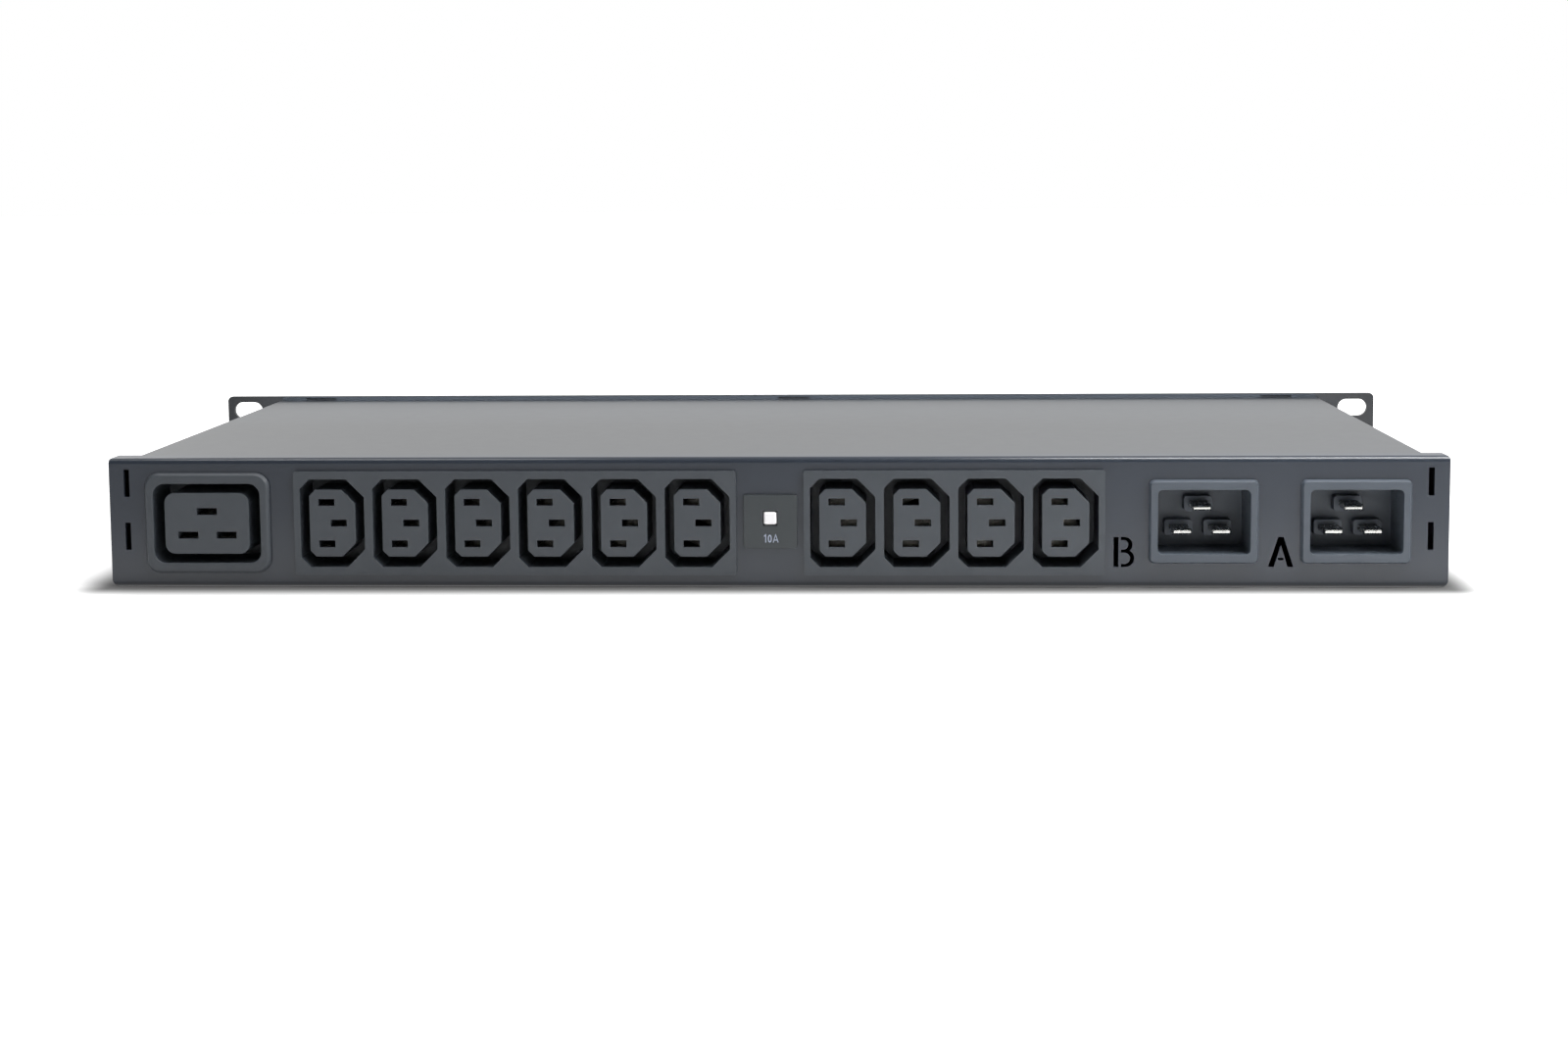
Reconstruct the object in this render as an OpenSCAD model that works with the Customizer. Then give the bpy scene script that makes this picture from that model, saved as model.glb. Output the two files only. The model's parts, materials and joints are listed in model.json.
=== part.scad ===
// Rack static transfer switch, one rack unit high. Two C20 inlets, A and B,
// feed one C19 and ten C13 outlets on the rear panel, which faces -Y. The
// front plate with its rack ears faces +Y. +Z is up, and the origin is the
// middle of the base. All lengths are in millimetres.

/* [Front plate] */
// Width over both rack ears
plate_w = 482.6; // [478:0.1:486]
// Height of the front plate
plate_h = 43.65; // [43.2:0.05:44.2]
// Thickness of the front plate
plate_t = 2; // [1.5:0.1:3]
// Corner radius of the ears
ear_r = 2; // [0.5:0.1:4]
// Distance between the left and the right rack slots
slot_span = 465.1; // [463:0.1:467]
// Distance between the lower and the upper rack slots
slot_rise = 31.75; // [30:0.05:33]
// Length of a rack slot
slot_len = 12; // [9:0.1:13]
// Height of a rack slot
slot_h = 7; // [6:0.1:8]

/* [Case] */
// Width of the case over the lid
case_w = 438; // [436:0.1:440]
// Height of the case at the rear panel
case_h = 43.6; // [43.2:0.1:44]
// Depth from the rear panel's outer face to the back of the front plate
case_d = 194; // [185:1:260]
// Sheet thickness of the base tray
tray_t = 1.2; // [1:0.1:1.5]
// Outer bend radius of the base tray
tray_fold_r = 2.2; // [1.8:0.1:3]
// Sheet thickness of the lid
lid_t = 1; // [0.8:0.1:1.2]
// Outer bend radius of the lid
lid_fold_r = 1.6; // [1.3:0.1:1.9]
// How far the lid's side skirts reach down
lid_skirt = 39; // [36:0.5:39.5]
// Gap between the lid's skirts and the tray's side walls
skirt_gap = 0.6; // [0.1:0.1:0.8]
// Gap between sheets that lie on each other
seam = 0.1; // [0.05:0.01:0.15]
// Width of the inward flanges at the front of the tray walls
tray_flange = 14; // [12:0.5:18]

/* [Lid edge] */
// Width of a slot in the lid's front upstand
lid_slot_w = 13; // [8:0.5:18]
// Height of a slot in the lid's front upstand
lid_slot_h = 1; // [0.6:0.1:1.1]
// Distance of the outer upstand slots from the middle
lid_slot_x = 200.8; // [180:0.1:205]

/* [Rear panel] */
// Width of the rear panel
panel_w = 444.5; // [441:0.1:446]
// Sheet thickness of the rear panel
panel_t = 1.5; // [1.2:0.1:1.8]
// Outer bend radius of the rear panel
panel_fold_r = 2; // [1.9:0.1:3]
// Depth of the top flange that lies over the lid
panel_flange = 8; // [6:0.5:12]
// Depth of the bottom flange that carries the tray
panel_foot = 8; // [6:0.5:12]
// Radius of the lower panel corners
panel_corner_r = 2.6; // [1:0.1:4]
// Radius of the upper panel corners
panel_top_r = 1; // [0.5:0.1:2]
// Distance from the middle to the slots for a cable bracket's hooks
hook_x = 216.3; // [214:0.1:217]
// Width of a hook slot
hook_slot_w = 1.9; // [1.5:0.1:2.4]
// Height of a hook slot
hook_slot_h = 9.3; // [8:0.1:10.4]
// Height of the lower hook slots' centre
hook_low_z = 17.2; // [14:0.1:18]
// Height of the upper hook slots' centre
hook_high_z = 35.2; // [32:0.1:35.5]
// Depth of the notches in the tray walls behind the hook slots
hook_room = 10; // [6:0.5:14]
// Distance between the screws in the panel's foot
foot_screw_pitch = 92; // [70:1:100]
// Clearance round each connector in its panel cut-out
cut_gap = 0.2; // [0.1:0.05:0.3]

/* [Stencil letters] */
// Height of the letters that mark the inlets
letter_h = 10; // [9:0.1:10.6]
// Height of the letters' foot above the base
letter_z = 6.9; // [6:0.1:8]
// Middle of the letter B
letter_b_x = 116.6; // [116:0.1:117.4]
// Middle of the letter A
letter_a_x = 167.8; // [167:0.1:168.2]
// Width of the letter B
letter_b_w = 6.8; // [6.4:0.1:7.6]
// Width of the letter A
letter_a_w = 8.3; // [7.8:0.1:8.6]
// Width of the letters' upright and slanted strokes
letter_stem = 1.6; // [1.4:0.1:1.8]
// Width of the strokes that bow out in the letter B
letter_bow = 1.4; // [1.2:0.1:1.6]
// Height of the letters' level strokes
letter_bar = 1; // [0.8:0.1:1.1]
// Bridge of sheet between a stroke and the next
letter_bridge = 0.8; // [0.6:0.1:1]

/* [C13 outlets] */
// Number of outlets in the left block
c13_left_n = 6; // [2:1:6]
// Number of outlets in the right block
c13_right_n = 4; // [2:1:4]
// Distance between neighbouring outlets
c13_pitch = 24.45; // [23.8:0.05:24.8]
// Middle of the left block
c13_left_x = -85.3; // [-86:0.1:-84.5]
// Middle of the right block
c13_right_x = 60.7; // [60:0.1:61.5]
// Distance from an end outlet's middle to the block's end
c13_end = 12.9; // [12.7:0.1:13.4]
// Height of a block's rim
c13_h = 34.9; // [34:0.1:36]
// Thickness of the rim in front of the panel
c13_rim = 1.5; // [1:0.1:2]
// Overlap of the rim on the panel
c13_lip = 1.2; // [0.8:0.1:1.3]
// Width of the recess round a core
c13_recess_w = 21.6; // [21:0.1:21.8]
// Height of the recess round a core
c13_recess_h = 29.6; // [28.8:0.1:29.8]
// Depth of the recess below the rim's face
c13_recess_d = 16.5; // [14:0.5:18]
// Cut across the recess's corners on the earth side
c13_recess_cut = 6; // [4:0.1:7]
// Cut across the recess's other corners
c13_recess_nick = 3.2; // [2:0.1:4]
// Thickness of the recess floor
c13_floor = 2.2; // [1.5:0.1:3]
// Width of a core
c13_core_w = 15.5; // [15:0.1:16]
// Height of a core
c13_core_h = 22.6; // [22:0.1:23]
// Cut across the core's corners on the earth side
c13_core_cut = 4.6; // [3:0.1:5]
// Cut across the core's other corners
c13_core_nick = 2; // [1:0.1:3]
// Distance between the line and neutral slots
c13_line_gap = 14; // [13.6:0.1:14.4]
// Sideways step from the line slots to the earth slot
c13_earth_step = 4; // [3.6:0.1:4.4]
// Width of a contact slot
c13_slot_w = 5.4; // [5:0.1:5.8]

/* [C19 outlet] */
// Middle of the outlet
c19_x = -188.9; // [-190:0.1:-188.5]
// Width of the rim
c19_w = 42.6; // [42:0.1:44]
// Height of the rim
c19_h = 34; // [33:0.1:35]
// Thickness of the rim in front of the panel
c19_rim = 1.8; // [1.2:0.1:2.4]
// Corner radius of the rim
c19_rim_r = 5; // [3:0.1:6]
// Slope round the rim's edge
c19_slope = 0.9; // [0.4:0.1:1.1]
// Width of the recess round the core
c19_recess_w = 36.2; // [35.6:0.1:36.6]
// Height of the recess round the core
c19_recess_h = 26.8; // [26:0.1:27.2]
// Corner radius of the recess
c19_recess_r = 4; // [2:0.1:5]
// Depth of the recess below the rim's face
c19_recess_d = 17.5; // [15:0.5:19]
// Wall round the recess
c19_wall = 1.3; // [1:0.1:1.5]
// Width of the core
c19_core_w = 28.6; // [28:0.1:29]
// Height of the core
c19_core_h = 20.6; // [20:0.1:21]
// Corner radius of the core
c19_core_r = 3.4; // [2:0.1:4]
// Distance between the line and neutral slots
c19_line_gap = 13; // [12.6:0.1:13.4]
// Rise from the line slots to the earth slot
c19_earth_rise = 8; // [7.6:0.1:8.4]
// Width of a contact slot
c19_slot_w = 6.8; // [6.4:0.1:8]

/* [Contacts] */
// Height of every contact slot
contact_slot_h = 2.3; // [2.1:0.1:2.6]
// Thickness of the contact spring leaves
contact_t = 0.4; // [0.3:0.05:0.5]
// Half the gap between the leaves where they pinch a pin
contact_nip = 0.9; // [0.7:0.05:1]
// Half the gap between the leaves at their ends
contact_gape = 1.2; // [1.1:0.05:1.4]
// Thickness of the core's face in front of the contacts
contact_face = 2; // [1.5:0.1:3]
// How far the core faces lie below the rims
core_sink = 0.3; // [0.1:0.1:0.6]

/* [C20 inlets] */
// Height of the inlets' middle above the panel's middle
inlet_rise = 0.3; // [0:0.1:1]
// Middle of inlet B
inlet_b_x = 142.5; // [142:0.1:144]
// Middle of inlet A
inlet_a_x = 192; // [191:0.1:193]
// Width of the rim
c20_w = 35.8; // [35:0.1:37]
// Height of the rim
c20_h = 27.8; // [27:0.1:29]
// Thickness of the rim in front of the panel
c20_rim = 2; // [1.4:0.1:2.6]
// Corner radius of the rim
c20_rim_r = 1.8; // [1:0.1:2.5]
// Slope round the rim's edge
c20_slope = 0.6; // [0.3:0.1:0.9]
// Width of the cavity
c20_cavity_w = 30.2; // [29.8:0.1:31]
// Height of the cavity
c20_cavity_h = 21.4; // [21:0.1:22]
// Corner radius of the cavity
c20_cavity_r = 1.6; // [1:0.1:3]
// Depth of the cavity below the rim's face
c20_cavity_d = 18; // [16:0.5:20]
// Wall round the cavity
c20_wall = 1.4; // [1:0.1:1.6]
// Thickness of the cavity floor
c20_floor = 3; // [2:0.1:5]
// Distance between the line and neutral pins
c20_line_gap = 13; // [12.6:0.1:13.4]
// Rise from the line pins to the earth pin
c20_earth_rise = 8; // [7.6:0.1:8.4]
// Width of a pin
c20_pin_w = 6.2; // [5.6:0.1:8]
// Thickness of a pin
c20_pin_t = 2; // [1.8:0.1:2.2]
// How far the pin tips lie below the rim's face
c20_tip_sink = 4.8; // [4.2:0.1:7]
// Slope cut across the corners of a pin's tip
c20_tip_cut = 0.5; // [0.3:0.1:1.8]
// Thickness left at a pin's tip
c20_tip_t = 0.9; // [0.6:0.1:1.4]
// Length over which a pin thins down to its tip
c20_tip_taper = 1.2; // [0.6:0.1:2]
// Height of the collar moulded round each pin's root
c20_collar = 4; // [2:0.1:6]
// Width of the collar wall round each pin
c20_collar_wall = 1.6; // [1:0.1:1.9]

/* [Circuit breaker] */
// Height of the breaker's middle above the panel's middle
breaker_rise = 0.4; // [0:0.1:1]
// Width of the bezel
breaker_w = 17.9; // [17.4:0.1:19.4]
// Height of the bezel
breaker_h = 18.1; // [17.6:0.1:20]
// Thickness of the bezel in front of the panel
breaker_rim = 1.2; // [0.8:0.1:1.6]
// Overlap of the bezel on the panel
breaker_lip = 1.5; // [1:0.1:2]
// Depth of the body behind the panel
breaker_d = 19; // [17:0.5:22]
// Width and height of the reset button
button_w = 4.2; // [3.6:0.1:5]
// Height of the button's middle above the bezel's middle
button_rise = 1.2; // [0:0.1:1.6]
// How far the button stands out of the bezel when set
button_proud = 0.4; // [0.2:0.1:1]
// How far the button pops out when the breaker trips
button_travel = 3; // [2:0.5:4]
// Gap all round the button in its guide
button_gap = 0.2; // [0.15:0.05:0.3]
// Thickness of the button's collar
button_collar = 1.2; // [0.8:0.1:1.6]

/* [Front controls] */
// Middle of the display
display_x = 78; // [70:1:90]
// Width of the display window
display_w = 38; // [30:0.5:44]
// Height of the display window
display_h = 13; // [10:0.5:18]
// Width of the ledge round the window behind the plate
display_ledge = 2; // [1:0.1:3]
// How far the window stands out of the front plate
display_proud = 0.4; // [0.2:0.1:0.6]
// Diameter of a key
key_d = 6; // [5:0.1:8]
// Gap round a key in the front plate
key_gap = 0.15; // [0.1:0.05:0.25]
// How far a key stands out of the front plate
key_proud = 0.8; // [0.6:0.1:1.5]
// Travel of a key
key_travel = 0.5; // [0.3:0.1:0.8]
// Middle of the two keys
keys_x = 42; // [40:1:46]
// Distance between the two keys
key_pitch = 13; // [11:0.5:15]
// Number of status lights
light_n = 3; // [2:1:4]
// Diameter of a status light
light_d = 3; // [2:0.1:4]
// Distance between the status lights
light_pitch = 10; // [8:0.5:12]
// Middle of the row of status lights
light_x = 5; // [0:1:8]
// Middle of the network jack
jack_x = -140; // [-150:1:-130]
// Width of the network jack
jack_w = 16; // [15:0.1:17]
// Height of the network jack
jack_h = 13.4; // [13:0.1:15]
// Width of the jack's port
port_w = 11.9; // [11.7:0.1:12.4]
// Height of the jack's port
port_h = 6.9; // [6.6:0.1:7.2]
// Width of the latch notch in the port
latch_w = 6; // [5:0.1:6.4]
// Height of the latch notch in the port
latch_h = 2.2; // [1.5:0.1:2.6]
// Depth of the port
port_d = 11; // [9:0.5:12]

/* [Boards] */
// Thickness of the circuit boards
board_t = 1.6; // [1:0.1:2]
// Distance of the outlet board from the panel's outer face
outlet_board_y = 23; // [22.5:0.5:26]
// Height of the outlet board
outlet_board_h = 36; // [34:0.5:37]
// Distance of the control board from the front plate
control_gap = 14; // [13.5:0.5:16]
// Height of the control board
control_h = 34; // [30:0.5:36]
// Height of the main board above the tray floor
standoff_h = 6; // [4:0.5:8]
// Diameter of the standoffs
standoff_d = 6; // [5:0.5:8]
// Width of the main board
main_w = 250; // [240:1:256]
// Depth of the main board
main_d = 116; // [112:1:118]
// Middle of the main board
main_x = 80; // [78:1:82]

/* [Inner parts] */
// Distance from the rear panel's outer face to the main board and the heat sink
bay_y = 42; // [41:0.5:44]
// Distance from the case screws to the case's ends
case_screw_inset = 40; // [20:1:60]
// Width of the heat sink across its fins
sink_w = 130; // [110:1:140]
// Depth of the heat sink along its fins
sink_d = 110; // [100:1:118]
// Thickness of the heat sink's base
sink_base = 5; // [3:0.5:7]
// Height of the fins above the base
fin_h = 24; // [16:0.5:26]
// Thickness of a fin
fin_t = 1.6; // [1:0.1:2.5]
// Number of fins
fin_n = 9; // [5:1:11]
// Middle of the heat sink
sink_x = -135; // [-138:1:-132]
// Width of a switching module's base
module_w = 46; // [38:1:48]
// Depth of a switching module's base
module_d = 34; // [28:1:38]
// Height of a switching module
module_h = 22; // [16:0.5:26]
// Height of a relay
relay_h = 20; // [14:0.5:26]
// Width of a relay
relay_w = 13; // [10:0.5:15]
// Depth of a relay
relay_d = 29; // [24:0.5:30]
// Distance between neighbouring relays
relay_pitch = 22; // [18:0.5:26]
// Height of a supply module
supply_h = 23; // [18:0.5:26]
// Width of a supply module
supply_w = 52; // [40:0.5:60]
// Depth of a supply module
supply_d = 28; // [20:0.5:34]
// Distance between the supply modules
supply_pitch = 44; // [38:0.5:50]
// Height of a filter capacitor
capacitor_h = 18; // [12:0.5:24]
// Width of a filter capacitor
capacitor_w = 26; // [20:0.5:28]
// Depth of a filter capacitor
capacitor_d = 10; // [7:0.5:12]
// Sideways distance between the filter capacitors
capacitor_pitch = 34; // [30:0.5:40]
// Distance between the rows of filter capacitors
capacitor_row_gap = 18; // [15:0.5:20]
// Diameter of the screw heads
screw_head_d = 5.6; // [5:0.1:6]
// Diameter of the screw shanks
screw_d = 3; // [2.5:0.1:3.5]

/* [Hidden] */

$fn = 48;
eps = 1;                       // overshoot of a cut past the face it opens
rear_proud = max(c13_rim, c19_rim, c20_rim, breaker_rim + button_proud);
front_proud = max(key_proud, display_proud);
// the rear panel's outer face and the back of the front plate
rear_y = (rear_proud - case_d - plate_t - front_proud) / 2;
front_y = rear_y + case_d;
lid_top = case_h - panel_t - seam;
wall_x = case_w / 2 - lid_t - skirt_gap;          // outer face of the tray's side walls
wall_top = lid_top - lid_fold_r - seam;      // clear of the lid's bend
mid_z = case_h / 2;                          // connectors sit on the panel's middle
plate_mid_z = plate_h / 2;
floor_z = tray_t;

// screws through the lid's skirts into the tray walls, and through the front plate
case_screw_y = [rear_y + case_screw_inset, front_y - case_screw_inset];
case_screw_z = lid_top / 2;
front_screw_x = wall_x - tray_flange / 2;
front_screw_rise = 22;
screw_head_t = (screw_head_d - screw_d) / 2;
case_screw_len = lid_t + skirt_gap + tray_t + 3;
front_screw_len = plate_t + tray_t + 3;
hook_margin = 1;                             // room round a hook slot in the tray wall
foot_screw_y = rear_y + (panel_fold_r + panel_foot) / 2;
foot_screw_len = panel_t + seam + tray_t + 1.5;

// contact seats
contact_h = 2 * (contact_gape + contact_t);
contact_tail_t = 0.8;
contact_tail_w = 3.2;
contact_side = 0.4;                          // slot width beside each contact
contact_bend = 3;
outlet_tail_y = outlet_board_y + board_t + 1.2;
c13_back = c13_recess_d - c13_rim + c13_floor;
c19_floor = c13_floor;
c19_back = c19_recess_d - c19_rim + c19_floor;
c20_back = c20_cavity_d - c20_rim + c20_floor;
// middles of the three contacts as [x, z], the earth contact last
c13_places = [[-c13_earth_step / 2, c13_line_gap / 2],
              [-c13_earth_step / 2, -c13_line_gap / 2],
              [c13_earth_step / 2, 0]];
c19_places = [[-c19_line_gap / 2, -c19_earth_rise / 2],
              [c19_line_gap / 2, -c19_earth_rise / 2],
              [0, c19_earth_rise / 2]];
c20_places = [[-c20_line_gap / 2, -c20_earth_rise / 2],
              [c20_line_gap / 2, -c20_earth_rise / 2],
              [0, c20_earth_rise / 2]];

// button and its chamber in the breaker
button_z = button_rise;
chamber_w = button_w + 3;
chamber_front = 1.4;                         // wall in front of the chamber, behind the panel face
button_collar_y = chamber_front + button_travel + 0.2;
chamber_back = button_collar_y + button_collar + 0.1;
blade_w = 6.3;
blade_t = 0.8;
blade_len = 8;
blade_gap = 9;

// front controls
display_ledge_t = 1.2;
key_flange_t = 0.8;
key_flange_d = key_d + 2.4;
key_stem_d = 3;
key_stem_len = 3;
key_free = 0.15;                             // free stroke left past the key's travel
control_y = front_y - control_gap;           // front face of the control board
control_x = (display_x + display_w / 2 + jack_x - jack_w / 2) / 2;
control_w = display_x + display_w / 2 - jack_x + jack_w / 2 + 16;
spacer_d = 5;
spacer_in = 5;
port_z = plate_mid_z - 0.6;

// boards and what stands on them
main_y = rear_y + bay_y + main_d / 2;
main_z = floor_z + standoff_h;
main_top = main_z + board_t;
main_edge = 7;                               // standoffs' distance from the board's edges
sink_y = rear_y + bay_y + sink_d / 2;
sink_flat = module_d + 8;                    // bare strip of the base that carries the modules
module_base = 3;
module_ear = 7;                              // screw ears on both sides of a module's block
module_gap = sink_w / 4;
// where the main board's parts start, as shares of the board from its middle
relay_row = [-0.38 * main_w, -0.275 * main_d];
supply_x = 0.28 * main_w;
capacitor_row = [-0.34 * main_w, 0.1 * main_d];

// shares of the letters' height, and the dash of the letter A
letter_waist = 0.53;
letter_crotch = 0.725;
letter_dash = 2;
letter_dash_rise = 0.23;
letter_step = 0.6;                           // how far B's upper bowl falls short of the lower one

function cx(i, n) = (i - (n - 1) / 2) * c13_pitch;
function block_w(n) = (n - 1) * c13_pitch + 2 * c13_end;

// an outline with cut corners: cut on the right, nick on the left
function cut_outline(w, h, cut, nick) =
    [[-w / 2 + nick, -h / 2], [w / 2 - cut, -h / 2], [w / 2, -h / 2 + cut], [w / 2, h / 2 - cut],
     [w / 2 - cut, h / 2], [-w / 2 + nick, h / 2], [-w / 2, h / 2 - nick], [-w / 2, -h / 2 + nick]];

// extrusions along each axis between two planes
module along_x(x0, x1) translate([x0, 0, 0]) rotate([90, 0, 90]) linear_extrude(x1 - x0) children();
module along_y(y0, y1) translate([0, y1, 0]) rotate([90, 0, 0]) linear_extrude(y1 - y0) children();
module along_z(z0, z1) translate([0, 0, z0]) linear_extrude(z1 - z0) children();

// a rectangle from one corner to the other, with a radius at each corner,
// listed from the low corner anticlockwise; 0 is a sharp corner
module soft_box(x0, y0, x1, y1, radii) {
    corners = [[x0, y0, 1, 1], [x1, y0, -1, 1], [x1, y1, -1, -1], [x0, y1, 1, -1]];
    difference() {
        translate([x0, y0]) square([x1 - x0, y1 - y0]);
        for (i = [0:3]) if (radii[i] > 0) {
            r = radii[i];
            c = corners[i];
            difference() {
                translate([c[0] + (c[2] < 0 ? -r : -eps), c[1] + (c[3] < 0 ? -r : -eps)])
                    square(r + eps);
                translate([c[0] + c[2] * r, c[1] + c[3] * r]) circle(r);
            }
        }
    }
}
module rounded(w, h, r) soft_box(-w / 2, -h / 2, w / 2, h / 2, [r, r, r, r]);

module at_panel(x, rise = 0) translate([x, rear_y, mid_z + rise]) children();
module both_sides() {
    children();
    mirror([1, 0, 0]) children();
}

// a countersunk screw that lies flush at z = 0 and points down
module sunk_screw(len) {
    rotate_extrude() polygon([[0, 0], [screw_head_d / 2, 0], [screw_d / 2, -screw_head_t],
                              [screw_d / 2, -len], [0, -len]]);
}
// the same shape as a cut
module sunk_hole(len) {
    rotate_extrude() polygon([[0, eps], [screw_head_d / 2, eps], [screw_head_d / 2, 0],
                              [screw_d / 2, -screw_head_t], [screw_d / 2, -len], [0, -len]]);
}
module at_case_screws() for (y = case_screw_y)
    both_sides() translate([case_w / 2, y, case_screw_z]) rotate([0, 90, 0]) children();
module at_foot_screws() for (i = [-2:2])
    translate([i * foot_screw_pitch, foot_screw_y, 0]) rotate([180, 0, 0]) children();
module at_front_screws() for (s = [-1, 1])
    both_sides() translate([front_screw_x, front_y + plate_t, plate_mid_z + s * front_screw_rise / 2])
        rotate([-90, 0, 0]) children();

// ---- sheet metal ----

// a folded tray: floor and side walls in one sheet, a joggled rear lip that laps
// the rear panel's foot, inward flanges at the front and notches at the rear
module base_tray() color("dimgray") {
    r = tray_fold_r;
    inner = wall_x - tray_t;
    floor_y = rear_y + panel_foot + seam;
    wall_y = rear_y + panel_t + seam;
    plate_back = front_y - seam / 2;
    difference() {
        union() {
            along_y(wall_y, plate_back) difference() {
                soft_box(-wall_x, 0, wall_x, wall_top, [r, r, 0, 0]);
                soft_box(-inner, tray_t, inner, wall_top + eps, [r - tray_t, r - tray_t, 0, 0]);
            }
            both_sides() along_y(plate_back - tray_t, plate_back)
                translate([wall_x - tray_flange, r + tray_t])
                    square([tray_flange - tray_t / 2, wall_top - r - tray_t - 2]);
        }
        both_sides() for (z = [hook_low_z, hook_high_z])
            translate([inner - eps, wall_y - eps, z - hook_slot_h / 2 - hook_margin])
                cube([tray_t + 2 * eps, hook_room + eps, hook_slot_h + 2 * hook_margin]);
        // the floor stops short of the rear panel's foot
        along_x(-wall_x - eps, wall_x + eps) translate([wall_y - eps, -eps])
            square([floor_y - wall_y + eps, panel_fold_r + seam + eps]);
        at_case_screws() sunk_hole(case_screw_len + eps);
        at_front_screws() sunk_hole(front_screw_len + eps);
    }
    // the lip steps up over the foot by the foot's own thickness
    difference() {
        along_x(-inner + r, inner - r) {
            lip_z = panel_t + seam;
            translate([wall_y + panel_fold_r, lip_z])
                square([panel_foot + tray_t - panel_fold_r - panel_t, tray_t]);
            translate([floor_y, 0]) square([tray_t, lip_z + tray_t]);
        }
        at_foot_screws() sunk_hole(foot_screw_len + eps);
    }
}

// one bowl of a letter, open to the left
module letter_bowl(x0, x1, z0, z1) {
    outer_r = (z1 - z0) / 2;
    inner_r = outer_r - letter_bar;
    difference() {
        soft_box(x0, z0, x1, z1, [0, outer_r, outer_r, 0]);
        soft_box(x0 - eps, z0 + letter_bar, x1 - letter_bow, z1 - letter_bar, [0, inner_r, inner_r, 0]);
    }
}
module letter_b() {
    left = -letter_b_w / 2;
    bowl_x = left + letter_stem + letter_bridge;
    waist = letter_h * letter_waist;
    translate([left, 0]) square([letter_stem, letter_h]);
    letter_bowl(bowl_x, letter_b_w / 2, 0, waist + letter_bar / 2);
    letter_bowl(bowl_x, letter_b_w / 2 - letter_step, waist - letter_bar / 2, letter_h);
}
module letter_a() {
    foot = letter_a_w / 2;
    peak = letter_stem * 0.55;
    difference() {
        polygon([[-foot, 0], [foot, 0], [peak, letter_h], [-peak, letter_h]]);
        polygon([[letter_stem - foot, -eps], [foot - letter_stem, -eps], [0, letter_h * letter_crotch]]);
    }
    translate([-letter_dash / 2, letter_h * letter_dash_rise]) square([letter_dash, letter_bar * 0.8]);
}

// the folded rear panel with its cut-outs, a flange over the lid and a foot
module rear_panel() color([0.28, 0.30, 0.32]) {
    r = panel_fold_r;
    d = max(panel_flange, panel_foot);
    foot_x = wall_x - tray_t - seam - 0.2;
    translate([0, rear_y, 0]) difference() {
        intersection() {
            along_x(-panel_w / 2, panel_w / 2) difference() {
                soft_box(0, 0, d, case_h, [r, 0, 0, r]);
                soft_box(panel_t, panel_t, d + eps, case_h - panel_t, [r - panel_t, 0, 0, r - panel_t]);
                translate([panel_flange, case_h / 2]) square([d, case_h]);
                translate([panel_foot, -case_h / 2]) square([d, case_h]);
            }
            along_y(0, d) soft_box(-panel_w / 2, 0, panel_w / 2, case_h,
                [panel_corner_r, panel_corner_r, panel_top_r, panel_top_r]);
        }
        // reliefs beside the foot, where the tray walls come down
        both_sides() translate([foot_x, r, -eps])
            cube([panel_w, d, panel_t + panel_fold_r + eps]);
        both_sides() for (z = [hook_low_z, hook_high_z]) along_y(-eps, panel_t + eps)
            translate([hook_x, z]) rounded(hook_slot_w, hook_slot_h, 0.3);
        translate([0, -rear_y, 0]) at_foot_screws() sunk_hole(foot_screw_len + eps);
        along_y(-eps, panel_t + eps) {
            translate([letter_b_x, letter_z]) letter_b();
            translate([letter_a_x, letter_z]) letter_a();
        }
        translate([0, 0, mid_z]) along_y(-eps, panel_t + eps) {
            translate([c19_x, 0]) c19_body_outline(cut_gap);
            for (b = [[c13_left_x, c13_left_n], [c13_right_x, c13_right_n]]) translate([b[0], 0])
                square(c13_body(b[1]) + [2, 2] * cut_gap, center = true);
            for (x = [inlet_b_x, inlet_a_x]) translate([x, inlet_rise]) c20_body_outline(cut_gap);
            translate([0, breaker_rise]) square(breaker_body_size() + [2, 2] * cut_gap, center = true);
        }
    }
}

// the lid: a sheet with side skirts and a slotted upstand behind the front plate
module lid() color([0.36, 0.38, 0.39]) {
    r = lid_fold_r;
    x = case_w / 2;
    y0 = rear_y + panel_fold_r + seam;
    y1 = front_y - seam;
    upstand_top = case_h - seam;
    difference() {
        union() {
            along_y(y0, y1) difference() {
                soft_box(-x, lid_top - lid_skirt, x, lid_top, [0, 0, r, r]);
                soft_box(-x + lid_t, lid_top - lid_skirt - eps, x - lid_t, lid_top - lid_t,
                    [0, 0, r - lid_t, r - lid_t]);
            }
            along_y(y1 - lid_t, y1) soft_box(-x + r, lid_top - lid_t, x - r, upstand_top, [0, 0, 1, 1]);
        }
        for (sx = [-1, 0, 1]) along_y(y1 - lid_t - eps, y1 + eps)
            translate([sx * lid_slot_x - lid_slot_w / 2, lid_top])
                square([lid_slot_w, lid_slot_h]);
        at_case_screws() sunk_hole(case_screw_len + eps);
    }
}

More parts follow.
